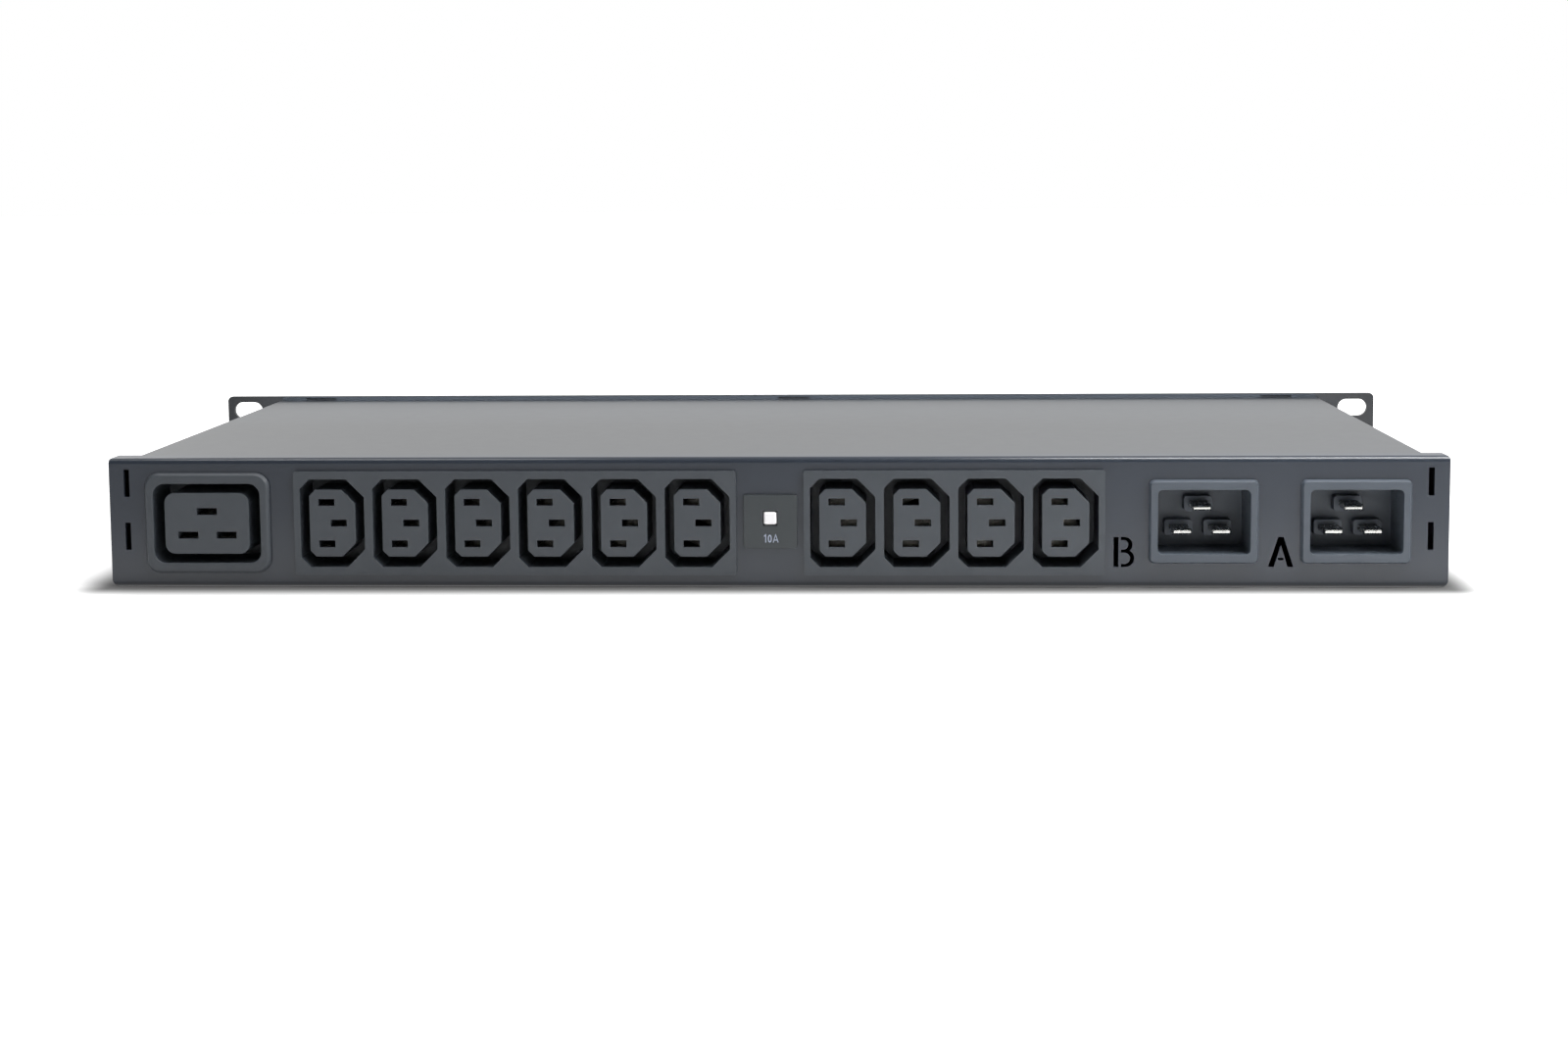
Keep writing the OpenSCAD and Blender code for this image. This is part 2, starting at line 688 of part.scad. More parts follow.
// the front plate with rack ears, oblong rack slots and openings for the controls
module front_plate() color([0.16, 0.17, 0.18]) difference() {
    along_y(front_y, front_y + plate_t) difference() {
        translate([0, plate_mid_z]) rounded(plate_w, plate_h, ear_r);
        for (sx = [-1, 1], sz = [-1, 1])
            translate([sx * slot_span / 2, plate_mid_z + sz * slot_rise / 2])
                rounded(slot_len, slot_h, slot_h / 2 - 0.001);
        translate([display_x, plate_mid_z])
            square([display_w + 2 * seam, display_h + 2 * seam], center = true);
        for (s = [-1, 1]) translate([keys_x + s * key_pitch / 2, plate_mid_z])
            circle(key_d / 2 + key_gap);
        for (i = [0:light_n - 1]) translate([light_place(i), plate_mid_z]) circle(light_d / 2);
        translate([jack_x, plate_mid_z])
            square([jack_w + 2 * seam, jack_h + 2 * seam], center = true);
    }
    at_front_screws() sunk_hole(front_screw_len + eps);
}

module case_screws() color("gray") at_case_screws() sunk_screw(case_screw_len);
module front_screws() color("gray") at_front_screws() sunk_screw(front_screw_len);
module foot_screws() color("gray") at_foot_screws() sunk_screw(foot_screw_len);

// ---- C13 outlet blocks ----

function c13_body(n) = [block_w(n) - 2 * c13_lip, c13_h - 2 * c13_lip];

// hooks that snap behind the panel, on the body's top and bottom
module snap_hooks(half_h, w) for (s = [0, 1]) mirror([0, 0, s]) translate([0, 0, half_h])
    along_x(-w / 2, w / 2) polygon([[panel_t + seam, -0.3], [panel_t + seam, 0.9],
                                    [panel_t + 1.2, 0.9], [panel_t + 5, -0.3]]);

module c13_housing(n) {
    size = c13_body(n);
    difference() {
        union() {
            along_y(-c13_rim, 0) rounded(block_w(n), c13_h, 0.8);
            along_y(-c13_rim / 2, c13_back) square(size, center = true);
            for (i = [0:n - 1]) translate([cx(i, n), 0, 0]) snap_hooks(size[1] / 2, 8);
        }
        for (i = [0:n - 1]) translate([cx(i, n), 0, 0]) {
            along_y(-c13_rim - eps, c13_back - c13_floor)
                polygon(cut_outline(c13_recess_w, c13_recess_h, c13_recess_cut, c13_recess_nick));
            along_y(0, c13_back + eps)
                polygon(cut_outline(c13_core_w, c13_core_h, c13_core_cut, c13_core_nick));
        }
    }
}

module c13_cores(n) for (i = [0:n - 1]) translate([cx(i, n), 0, 0]) difference() {
    along_y(-c13_rim + core_sink, c13_back)
        polygon(cut_outline(c13_core_w, c13_core_h, c13_core_cut, c13_core_nick));
    contact_cuts(c13_places, c13_slot_w, -c13_rim + core_sink, c13_back);
}

// slots through a core's face and the chambers behind them
module contact_cuts(places, w, y0, y1) for (p = places) translate([p[0], 0, p[1]]) {
    along_y(y0 - eps, y0 + contact_face + eps) square([w, contact_slot_h], center = true);
    along_y(y0 + contact_face, y1 + eps) square([w + 2 * contact_side, contact_h], center = true);
}

// a folded spring contact: two leaves that pinch a pin, and a tail
module contact(w, y0, y1) {
    out = contact_gape + contact_t;
    nip_out = contact_nip + contact_t;
    back = y1 - contact_t;
    tail = contact_tail_t / 2;
    along_x(-w / 2, w / 2) polygon([
        [y0, out], [y0 + contact_bend, nip_out], [back, out], [y1, out],
        [y1, -out], [back, -out], [y0 + contact_bend, -nip_out], [y0, -out],
        [y0, -contact_gape], [y0 + contact_bend, -contact_nip], [back, -contact_gape],
        [back, contact_gape], [y0 + contact_bend, contact_nip], [y0, contact_gape]]);
    along_y(back + contact_t / 2, outlet_tail_y) square([contact_tail_w, contact_tail_t], center = true);
}
module contacts(places, w, y0, y1) for (p = places) translate([p[0], 0, p[1]])
    contact(w, y0 + contact_face, y1);

module c13_left_housing() color([0.25, 0.26, 0.28]) at_panel(c13_left_x) c13_housing(c13_left_n);
module c13_right_housing() color([0.25, 0.26, 0.28]) at_panel(c13_right_x) c13_housing(c13_right_n);
module c13_left_cores() color([0.25, 0.27, 0.30]) at_panel(c13_left_x) c13_cores(c13_left_n);
module c13_right_cores() color([0.25, 0.27, 0.30]) at_panel(c13_right_x) c13_cores(c13_right_n);
module c13_contacts(n) for (i = [0:n - 1]) translate([cx(i, n), 0, 0])
    contacts(c13_places, c13_slot_w, -c13_rim + core_sink, c13_back);
module c13_left_contacts() color("goldenrod") at_panel(c13_left_x) c13_contacts(c13_left_n);
module c13_right_contacts() color("goldenrod") at_panel(c13_right_x) c13_contacts(c13_right_n);

// ---- C19 outlet ----

module c19_body_outline(gap) {
    grow = c19_wall + gap;
    rounded(c19_recess_w + 2 * grow, c19_recess_h + 2 * grow, c19_recess_r + grow);
}

module sloped_rim(w, h, r, rim, slope) hull() {
    along_y(-rim / 3, 0) rounded(w, h, r, $fn = 32);
    along_y(-rim, 0) rounded(w - 2 * slope, h - 2 * slope, r - slope, $fn = 32);
}

module c19_housing() color([0.26, 0.28, 0.31]) at_panel(c19_x) difference() {
    union() {
        sloped_rim(c19_w, c19_h, c19_rim_r, c19_rim, c19_slope);
        along_y(-c19_rim / 2, c19_back) c19_body_outline(0);
        snap_hooks(c19_recess_h / 2 + c19_wall, 16);
    }
    along_y(-c19_rim - eps, c19_back - c19_floor) rounded(c19_recess_w, c19_recess_h, c19_recess_r);
    along_y(0, c19_back + eps) rounded(c19_core_w, c19_core_h, c19_core_r);
}

module c19_core() color([0.26, 0.28, 0.31]) at_panel(c19_x) difference() {
    along_y(-c19_rim + core_sink, c19_back) rounded(c19_core_w, c19_core_h, c19_core_r);
    contact_cuts(c19_places, c19_slot_w, -c19_rim + core_sink, c19_back);
}
module c19_contacts() color("goldenrod") at_panel(c19_x)
    contacts(c19_places, c19_slot_w, -c19_rim + core_sink, c19_back);

// ---- C20 inlets ----

module c20_body_outline(gap) {
    grow = c20_wall + gap;
    rounded(c20_cavity_w + 2 * grow, c20_cavity_h + 2 * grow, c20_cavity_r + grow);
}

module c20_housing() {
    floor_y = c20_back - c20_floor;
    difference() {
        union() {
            difference() {
                union() {
                    sloped_rim(c20_w, c20_h, c20_rim_r, c20_rim, c20_slope);
                    along_y(-c20_rim / 2, c20_back) c20_body_outline(0);
                    snap_hooks(c20_cavity_h / 2 + c20_wall, 14);
                }
                along_y(-c20_rim - eps, floor_y) rounded(c20_cavity_w, c20_cavity_h, c20_cavity_r);
            }
            // collars moulded round the pins' roots
            for (p = c20_places) translate([p[0], 0, p[1]]) along_y(floor_y - c20_collar, c20_back)
                rounded(c20_pin_w + 2 * c20_collar_wall, c20_pin_t + 2 * c20_collar_wall, 1);
        }
        for (p = c20_places) translate([p[0], 0, p[1]]) along_y(0, c20_back + eps)
            square([c20_pin_w, c20_pin_t], center = true);
    }
}

// a flat pin that thins down to its tip, and a blade tail for its wire
module c20_pins() for (p = c20_places) translate([p[0], 0, p[1]]) {
    tip = -c20_rim + c20_tip_sink;
    root = c20_back + 1;
    half_w = c20_pin_w / 2;
    half_t = c20_pin_t / 2;
    cut = c20_tip_cut;
    intersection() {
        along_z(-half_t - eps, half_t + eps) polygon([
            [-half_w + cut, tip], [half_w - cut, tip], [half_w, tip + cut],
            [half_w, root], [-half_w, root], [-half_w, tip + cut]]);
        along_x(-half_w - eps, half_w + eps) polygon([
            [tip - eps, c20_tip_t / 2], [tip, c20_tip_t / 2], [tip + c20_tip_taper, half_t],
            [root + eps, half_t], [root + eps, -half_t], [tip + c20_tip_taper, -half_t],
            [tip, -c20_tip_t / 2], [tip - eps, -c20_tip_t / 2]]);
    }
    blade(c20_pin_w, c20_back, blade_len + 1);
}

module inlet_b_housing() color([0.30, 0.32, 0.34]) at_panel(inlet_b_x, inlet_rise) c20_housing();
module inlet_a_housing() color([0.30, 0.32, 0.34]) at_panel(inlet_a_x, inlet_rise) c20_housing();
module inlet_b_pins() color("silver") at_panel(inlet_b_x, inlet_rise) c20_pins();
module inlet_a_pins() color("silver") at_panel(inlet_a_x, inlet_rise) c20_pins();

// ---- circuit breaker with a push-to-reset button ----

function breaker_body_size() = [breaker_w - 2 * breaker_lip, breaker_h - 2 * breaker_lip];

module breaker_body() color([0.32, 0.35, 0.36]) at_panel(0, breaker_rise) difference() {
    union() {
        along_y(-breaker_rim, 0) rounded(breaker_w, breaker_h, 1);
        along_y(-breaker_rim / 2, breaker_d) square(breaker_body_size(), center = true);
        snap_hooks(breaker_h / 2 - breaker_lip, 6);
    }
    translate([0, 0, button_z]) {
        along_y(-breaker_rim - eps, chamber_front + eps)
            square(button_w + 2 * button_gap, center = true);
        along_y(chamber_front, chamber_back) square(chamber_w, center = true);
    }
}
module breaker_button() color("white") at_panel(0, breaker_rise) translate([0, 0, button_z]) {
    along_y(-breaker_rim - button_proud, button_collar_y + button_collar / 2)
        square(button_w, center = true);
    along_y(button_collar_y, button_collar_y + button_collar)
        square(chamber_w - 2 * button_gap, center = true);
}

// a flat blade with sloped corners at its end, lying in the XY plane
module blade(w, y0, len) along_z(-blade_t / 2, blade_t / 2)
    polygon([[-w / 2, y0], [w / 2, y0], [w / 2, y0 + len - 1], [w / 2 - 1, y0 + len],
             [-w / 2 + 1, y0 + len], [-w / 2, y0 + len - 1]]);
module breaker_terminals() color("silver") at_panel(0, breaker_rise) for (s = [-1, 1])
    translate([0, 0, s * blade_gap / 2]) blade(blade_w, breaker_d, blade_len);

// ---- front controls ----

function light_place(i) = light_x + (i - (light_n - 1) / 2) * light_pitch;

module at_front(x) translate([x, front_y, plate_mid_z]) children();

module display_window() color("black") at_front(display_x) {
    along_y(-display_ledge_t / 2, plate_t + display_proud) rounded(display_w, display_h, 0.8);
    along_y(-display_ledge_t, 0)
        square([display_w + 2 * display_ledge, display_h + 2 * display_ledge], center = true);
}
module display_module() color("darkgreen") at_front(display_x)
    along_y(-control_gap, -display_ledge_t)
        rounded(display_w + display_ledge, display_h + display_ledge, 1);

module key() {
    flange_y = -0.05 - key_flange_t;
    rotate([-90, 0, 0]) rotate_extrude() polygon([
        [0, plate_t + key_proud], [key_d / 2 - 0.4, plate_t + key_proud],
        [key_d / 2, plate_t + key_proud - 0.4], [key_d / 2, -0.05],
        [key_flange_d / 2, -0.05], [key_flange_d / 2, flange_y], [key_stem_d / 2, flange_y],
        [key_stem_d / 2, flange_y - key_stem_len], [0, flange_y - key_stem_len]]);
}
module key_left() color("gray") at_front(keys_x + key_pitch / 2) key();
module key_right() color("gray") at_front(keys_x - key_pitch / 2) key();

// tall switches on the control board, one under each key
module key_switches() color("black") for (s = [-1, 1]) at_front(keys_x + s * key_pitch / 2) {
    top = -0.05 - key_flange_t - key_stem_len - key_travel - key_free;
    along_y(-control_gap, -control_gap + 3.5) square(6, center = true);
    translate([0, -control_gap + 3, 0]) rotate([-90, 0, 0]) cylinder(d = 3.4, h = control_gap - 3 + top);
}

// light pipes from the control board to the face of the plate
module status_lights() color("lime") for (i = [0:light_n - 1]) at_front(light_place(i))
    rotate([-90, 0, 0]) rotate_extrude() polygon([
        [0, plate_t + 0.5], [light_d / 2 - 0.5, plate_t + 0.4], [light_d / 2, plate_t],
        [light_d / 2, 0], [light_d / 2 + 0.8, 0], [light_d / 2 + 0.8, -1],
        [light_d / 2, -1], [light_d / 2, -control_gap], [0, -control_gap]]);

module network_jack() color("silver") at_front(jack_x) difference() {
    along_y(-control_gap, plate_t + 0.3) square([jack_w, jack_h], center = true);
    translate([0, 0, port_z - plate_mid_z]) along_y(plate_t + 0.3 - port_d, plate_t + 0.3 + eps) {
        square([port_w, port_h], center = true);
        translate([-latch_w / 2, port_h / 2 - eps]) square([latch_w, latch_h + eps]);
    }
}
// eight spring wires that slope up from the port's floor
module network_contacts() color("gold") at_front(jack_x) for (i = [0:7]) {
    y1 = plate_t + 0.3 - port_d;
    z0 = port_z - plate_mid_z - port_h / 2;
    along_x((i - 3.5) * 1.02 - 0.2, (i - 3.5) * 1.02 + 0.2)
        polygon([[y1, z0], [y1 + 7.5, z0], [y1 + 7.5, z0 + 0.4], [y1, z0 + 2.6]]);
}

module control_board() color("darkgreen") difference() {
    along_y(control_y - board_t, control_y) translate([control_x, plate_mid_z])
        rounded(control_w, control_h, 1);
}
module control_spacers() color("silver") for (sx = [-1, 1], sz = [-1, 1])
    translate([control_x + sx * (control_w / 2 - spacer_in), control_y,
               plate_mid_z + sz * (control_h / 2 - spacer_in)])
        rotate([-90, 0, 0]) cylinder(d = spacer_d, h = control_gap);

// ---- boards and inner parts ----

outlet_board_x0 = c19_x - c19_core_w / 2 - 4;
outlet_board_x1 = c13_right_x + block_w(c13_right_n) / 2;

module tail_holes(places) for (p = places)
    translate(p) square([contact_tail_w, contact_tail_t], center = true);

// an upright board that takes the tails of all outlet contacts
module outlet_board() color("darkgreen") translate([0, rear_y, mid_z])
    along_y(outlet_board_y, outlet_board_y + board_t) difference() {
        soft_box(outlet_board_x0, -outlet_board_h / 2, outlet_board_x1, outlet_board_h / 2, [1, 1, 1, 1]);
        translate([c19_x, 0]) tail_holes(c19_places);
        for (b = [[c13_left_x, c13_left_n], [c13_right_x, c13_right_n]], i = [0:b[1] - 1])
            translate([b[0] + cx(i, b[1]), 0]) tail_holes(c13_places);
        translate([0, breaker_rise]) square(breaker_body_size() + [2, 2], center = true);
    }

module at_standoffs() translate([main_x, main_y, 0]) for (sx = [-1, 0, 1], sy = [-1, 1])
    translate([sx * (main_w / 2 - main_edge), sy * (main_d / 2 - main_edge), 0]) children();

module main_board() color("darkgreen") difference() {
    translate([main_x, main_y]) along_z(main_z, main_top) rounded(main_w, main_d, 2);
    at_standoffs() translate([0, 0, main_z - eps]) cylinder(d = screw_d, h = board_t + 2 * eps);
}
module board_standoffs() color("silver") at_standoffs() {
    translate([0, 0, floor_z]) cylinder(d = standoff_d, h = standoff_h);
    translate([0, 0, main_z]) cylinder(d = screw_d, h = board_t);
    translate([0, 0, main_top]) cylinder(d = screw_head_d, h = 2);
}

// a finned extrusion; a bare strip of its base at the rear carries the modules
module heat_sink() color("silver") translate([sink_x, sink_y, floor_z]) {
    pitch = (sink_w - fin_t) / (fin_n - 1);
    translate([-sink_w / 2, -sink_d / 2, 0]) cube([sink_w, sink_d, sink_base]);
    translate([0, 0, sink_base - 0.5]) for (i = [0:fin_n - 1])
        translate([-sink_w / 2 + i * pitch, -sink_d / 2 + sink_flat, 0])
            cube([fin_t, sink_d - sink_flat, fin_h + 0.5]);
}
// a switching module for each source: a base with screw ears and a moulded block
module switch_modules() color("black") for (s = [-1, 1])
    translate([sink_x + s * module_gap, sink_y - sink_d / 2 + sink_flat / 2, floor_z + sink_base]) {
        along_z(0, module_base) rounded(module_w, module_d * 0.6, 3);
        along_z(0, module_h) rounded(module_w - 2 * module_ear, module_d, 2);
        for (t = [-1, 0, 1]) translate([0, t * module_d / 4, module_h]) cylinder(d = 5, h = 3);
    }

module on_board(dx, dy) translate([main_x + dx, main_y + dy, main_top]) children();
module relays() color("black") for (i = [0:3])
    on_board(relay_row[0] + i * relay_pitch, relay_row[1])
        along_z(0, relay_h) rounded(relay_w, relay_d, 1);
module supply_modules() color("black") for (s = [-1, 1])
    on_board(supply_x, s * supply_pitch / 2)
        along_z(0, supply_h) rounded(supply_w, supply_d, 1.5);
module filter_capacitors() color("gold") for (i = [0:1], j = [0:1])
    on_board(capacitor_row[0] + i * capacitor_pitch, capacitor_row[1] + j * capacitor_row_gap)
        along_z(0, capacitor_h) rounded(capacitor_w, capacitor_d, 1.5);

base_tray();
rear_panel();
lid();
front_plate();
case_screws();
front_screws();
foot_screws();
c19_housing();
c19_core();
c19_contacts();
c13_left_housing();
c13_left_cores();
c13_left_contacts();
c13_right_housing();
c13_right_cores();
c13_right_contacts();
inlet_b_housing();
inlet_b_pins();
inlet_a_housing();
inlet_a_pins();
breaker_body();
breaker_button();
breaker_terminals();
display_window();
display_module();
key_left();
key_right();
key_switches();
status_lights();
network_jack();
network_contacts();
control_board();
control_spacers();
outlet_board();
main_board();
board_standoffs();
heat_sink();
switch_modules();
relays();
supply_modules();
filter_capacitors();
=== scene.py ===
"""Looks of a rack static transfer switch, one rack unit high.

The rear panel with its outlets and inlets faces -Y, the front plate with its
rack ears faces +Y, and +Z is up. Lengths are in metres: MM turns millimetres
into metres. Places on the object come from the CAD nodes' boxes.
"""
import json
import math
from collections import namedtuple

import bmesh
import bpy
from mathutils import Matrix, Vector

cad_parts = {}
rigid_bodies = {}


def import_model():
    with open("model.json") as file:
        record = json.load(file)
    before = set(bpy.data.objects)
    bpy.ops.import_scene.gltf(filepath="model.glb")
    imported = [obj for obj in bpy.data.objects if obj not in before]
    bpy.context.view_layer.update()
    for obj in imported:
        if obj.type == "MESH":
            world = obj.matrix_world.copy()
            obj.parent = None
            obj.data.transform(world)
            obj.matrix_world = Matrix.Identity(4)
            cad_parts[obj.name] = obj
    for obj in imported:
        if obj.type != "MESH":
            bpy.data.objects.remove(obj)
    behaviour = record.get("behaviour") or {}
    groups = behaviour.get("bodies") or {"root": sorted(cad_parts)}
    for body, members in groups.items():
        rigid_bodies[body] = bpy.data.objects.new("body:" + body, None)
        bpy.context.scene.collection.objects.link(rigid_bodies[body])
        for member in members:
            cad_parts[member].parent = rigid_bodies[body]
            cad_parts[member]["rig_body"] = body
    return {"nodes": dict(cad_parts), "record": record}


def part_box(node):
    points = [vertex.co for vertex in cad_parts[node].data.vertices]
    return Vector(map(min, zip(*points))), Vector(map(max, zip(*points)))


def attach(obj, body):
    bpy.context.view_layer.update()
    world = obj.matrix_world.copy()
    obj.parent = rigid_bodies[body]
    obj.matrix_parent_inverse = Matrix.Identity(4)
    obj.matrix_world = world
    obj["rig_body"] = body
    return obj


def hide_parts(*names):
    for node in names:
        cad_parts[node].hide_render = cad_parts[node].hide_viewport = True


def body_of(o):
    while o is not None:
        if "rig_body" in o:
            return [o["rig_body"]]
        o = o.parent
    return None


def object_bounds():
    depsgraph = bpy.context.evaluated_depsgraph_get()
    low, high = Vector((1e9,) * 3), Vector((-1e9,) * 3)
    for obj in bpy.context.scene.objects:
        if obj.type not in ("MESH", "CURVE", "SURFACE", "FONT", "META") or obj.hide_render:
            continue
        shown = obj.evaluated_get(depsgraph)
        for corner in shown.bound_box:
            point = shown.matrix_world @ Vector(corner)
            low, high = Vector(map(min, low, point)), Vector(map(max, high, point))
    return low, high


MM = 0.001
WHITE = (1, 1, 1, 1)

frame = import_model()
cad_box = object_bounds()
nodes = frame["nodes"]


def add_object(name, data):
    """A new object in the scene, at the origin."""
    made = bpy.data.objects.new(name, data)
    bpy.context.scene.collection.objects.link(made)
    return made


# ---- camera ----

CAMERA_PLACE = Vector((37.4, -797.2, 138.9)) * MM
CAMERA_YAW = math.radians(-2.653)
CAMERA_PITCH = math.radians(-5.293)
CAMERA_ROLL = math.radians(-0.467)
CAMERA_SHIFT = -0.1         # keeps the rear panel's upright edges nearly upright
CLIP_START = 10 * MM
SENSOR_WIDTH = 36           # in millimetres, as Blender takes it
LENS = 49.06                # likewise


def add_camera():
    """The camera looks at the rear panel from a little above it."""
    data = bpy.data.cameras.new("camera")
    data.sensor_width = SENSOR_WIDTH
    data.lens = LENS
    data.shift_y = CAMERA_SHIFT
    data.clip_start = CLIP_START
    camera = add_object("camera", data)
    turn = (
        Matrix.Rotation(-CAMERA_YAW, 4, "Z")
        @ Matrix.Rotation(math.pi / 2 + CAMERA_PITCH, 4, "X")
        @ Matrix.Rotation(CAMERA_ROLL, 4, "Z")
    )
    camera.matrix_world = Matrix.Translation(CAMERA_PLACE) @ turn
    bpy.context.scene.camera = camera


# ---- shader nodes ----

def empty_tree(owner):
    """The node tree of a material or world, with no nodes in it."""
    owner.use_nodes = True
    owner.node_tree.nodes.clear()
    return owner.node_tree


def arithmetic(tree, operation, first, second):
    """A math node; each operand is a number or another node's output."""
    made = tree.nodes.new("ShaderNodeMath")
    made.operation = operation
    for socket, value in zip(made.inputs, (first, second)):
        if isinstance(value, bpy.types.NodeSocket):
            tree.links.new(value, socket)
        else:
            socket.default_value = value
    return made.outputs[0]


def product(tree, first, *others):
    """All the factors multiplied together."""
    for factor in others:
        first = arithmetic(tree, "MULTIPLY", first, factor)
    return first


def map_range(tree, value, source, target, interpolation="LINEAR"):
    """Maps a value from the source range to the target range and keeps it there."""
    made = tree.nodes.new("ShaderNodeMapRange")
    made.interpolation_type = interpolation
    for name, number in zip(("From Min", "From Max", "To Min", "To Max"), (*source, *target)):
        made.inputs[name].default_value = number
    tree.links.new(value, made.inputs["Value"])
    return made.outputs["Result"]


def ramp(tree, value, places, levels):
    """Goes smoothly from the first level to the second between two places."""
    return map_range(tree, value, places, levels, "SMOOTHSTEP")


def coordinate(tree, kind, axis):
    """One axis of a texture coordinate."""
    split = tree.nodes.new("ShaderNodeSeparateXYZ")
    place = tree.nodes.new("ShaderNodeTexCoord")
    tree.links.new(place.outputs[kind], split.inputs[0])
    return split.outputs[axis]


def seen_directly(tree):
    """1 for rays from the camera and through glass, otherwise 0."""
    path = tree.nodes.new("ShaderNodeLightPath").outputs
    return arithmetic(tree, "MAXIMUM", path["Is Camera Ray"], path["Is Transmission Ray"])


# ---- floor ----

FLOOR_SIZE = 12.0
FLOOR_ALBEDO = 0.8
# Each pair holds the level near the object and the level away from it, and the
# WITHIN after it the distances between which one goes over into the other.
FLOOR_SEEN = (0.45, 1.0)            # how brightly the floor shows itself
FLOOR_SEEN_WITHIN = (0, 350 * MM)
FLOOR_PAINTED_SHADOW = (0.12, 1.0)         # painted shadow: the floor's colour and glow are darker close to the object
FLOOR_PAINTED_SHADOW_WITHIN = (0, 18 * MM)
MIRRORED_LIGHT_POOL = (1.0, 0.1)         # painted pool of light round the object, seen only in reflections
MIRRORED_LIGHT_POOL_WITHIN = (45 * MM, 120 * MM)
MIRRORED_PAINTED_SHADE = (0.8, 1.0)       # painted shade in that pool where the object meets the floor
MIRRORED_PAINTED_SHADE_WITHIN = (0, 4 * MM)
MIRRORED_POOL_SIDE_LIGHT = (0.8, 1.0)         # painted light from the right: the pool's share at the object's left and right ends


def distance_from_object(tree):
    """Distance on the floor from the case's footprint."""
    place = tree.nodes.new("ShaderNodeTexCoord").outputs["Object"]
    size = (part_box("rear_panel")[1][0], cad_box[1][1], 0)
    for operation, operand in (("ABSOLUTE", None), ("SUBTRACT", size), ("MAXIMUM", (0, 0, 0))):
        step = tree.nodes.new("ShaderNodeVectorMath")
        step.operation = operation
        tree.links.new(place, step.inputs[0])
        if operand is not None:
            step.inputs[1].default_value = operand
        place = step.outputs["Vector"]
    length = tree.nodes.new("ShaderNodeVectorMath")
    length.operation = "LENGTH"
    tree.links.new(place, length.inputs[0])
    return length.outputs["Value"]


def floor_glow(tree, away, painted_shadow):
    """How brightly the floor shows itself to the camera, and a painted pool of light round the
    object that only reflections see.
    """
    seen = product(
        tree,
        seen_directly(tree),
        ramp(tree, away, FLOOR_SEEN_WITHIN, FLOOR_SEEN),
        painted_shadow,
    )
    ends = (cad_box[0][0], cad_box[1][0])
    # painted light: a glowing pool round the object that only reflections see
    mirrored_pool = product(
        tree,
        tree.nodes.new("ShaderNodeLightPath").outputs["Is Glossy Ray"],
        ramp(tree, away, MIRRORED_LIGHT_POOL_WITHIN, MIRRORED_LIGHT_POOL),
        ramp(tree, coordinate(tree, "Object", "X"), ends, MIRRORED_POOL_SIDE_LIGHT),
        ramp(tree, away, MIRRORED_PAINTED_SHADE_WITHIN, MIRRORED_PAINTED_SHADE),
    )
    return arithmetic(tree, "ADD", seen, mirrored_pool)


def floor_material():
    """A diffuse shade that takes the object's shadow, plus the floor's glow; both carry a painted
    shadow close to the object.
    """
    made = bpy.data.materials.new("floor")
    tree = empty_tree(made)
    diffuse = tree.nodes.new("ShaderNodeBsdfDiffuse")
    glow = tree.nodes.new("ShaderNodeEmission")
    both = tree.nodes.new("ShaderNodeAddShader")
    out = tree.nodes.new("ShaderNodeOutputMaterial")
    away = distance_from_object(tree)
    # painted shadow: darkens the floor's colour and glow close to the object
    painted_shadow = ramp(tree, away, FLOOR_PAINTED_SHADOW_WITHIN, FLOOR_PAINTED_SHADOW)
    tree.links.new(product(tree, painted_shadow, FLOOR_ALBEDO), diffuse.inputs["Color"])
    tree.links.new(floor_glow(tree, away, painted_shadow), glow.inputs["Strength"])
    for shader, socket in zip((diffuse, glow), both.inputs):
        tree.links.new(shader.outputs[0], socket)
    tree.links.new(both.outputs[0], out.inputs["Surface"])
    return made


def add_floor():
    """A pale floor that looks white to the camera and keeps the object's shadow."""
    half = FLOOR_SIZE / 2
    corners = [(x * half, y * half, 0) for x, y in ((-1, -1), (1, -1), (1, 1), (-1, 1))]
    mesh = bpy.data.meshes.new("floor")
    mesh.from_pydata(corners, [], [(0, 1, 2, 3)])
    mesh.materials.append(floor_material())
    add_object("floor", mesh)


# ---- world and lamps ----

WORLD_FRONT = 0.12          # dim room behind the camera
WORLD_BACK = 0.9            # pale backdrop behind the object
WORLD_TURN = (-0.6, 0.5)    # where one goes over into the other, along Y


def add_world():
    """White to the camera; elsewhere pale behind the object and dimmer before it."""
    world = bpy.data.worlds.new("studio")
    bpy.context.scene.world = world
    tree = empty_tree(world)
    shade = tree.nodes.new("ShaderNodeBackground")
    out = tree.nodes.new("ShaderNodeOutputWorld")
    shade.inputs["Color"].default_value = WHITE
    along_y = coordinate(tree, "Generated", "Y")
    room = ramp(tree, along_y, WORLD_TURN, (WORLD_FRONT, WORLD_BACK))
    strength = arithmetic(tree, "MAXIMUM", seen_directly(tree), room)
    tree.links.new(strength, shade.inputs["Strength"])
    tree.links.new(shade.outputs[0], out.inputs["Surface"])


Softbox = namedtuple("Softbox", "place aim size watts")

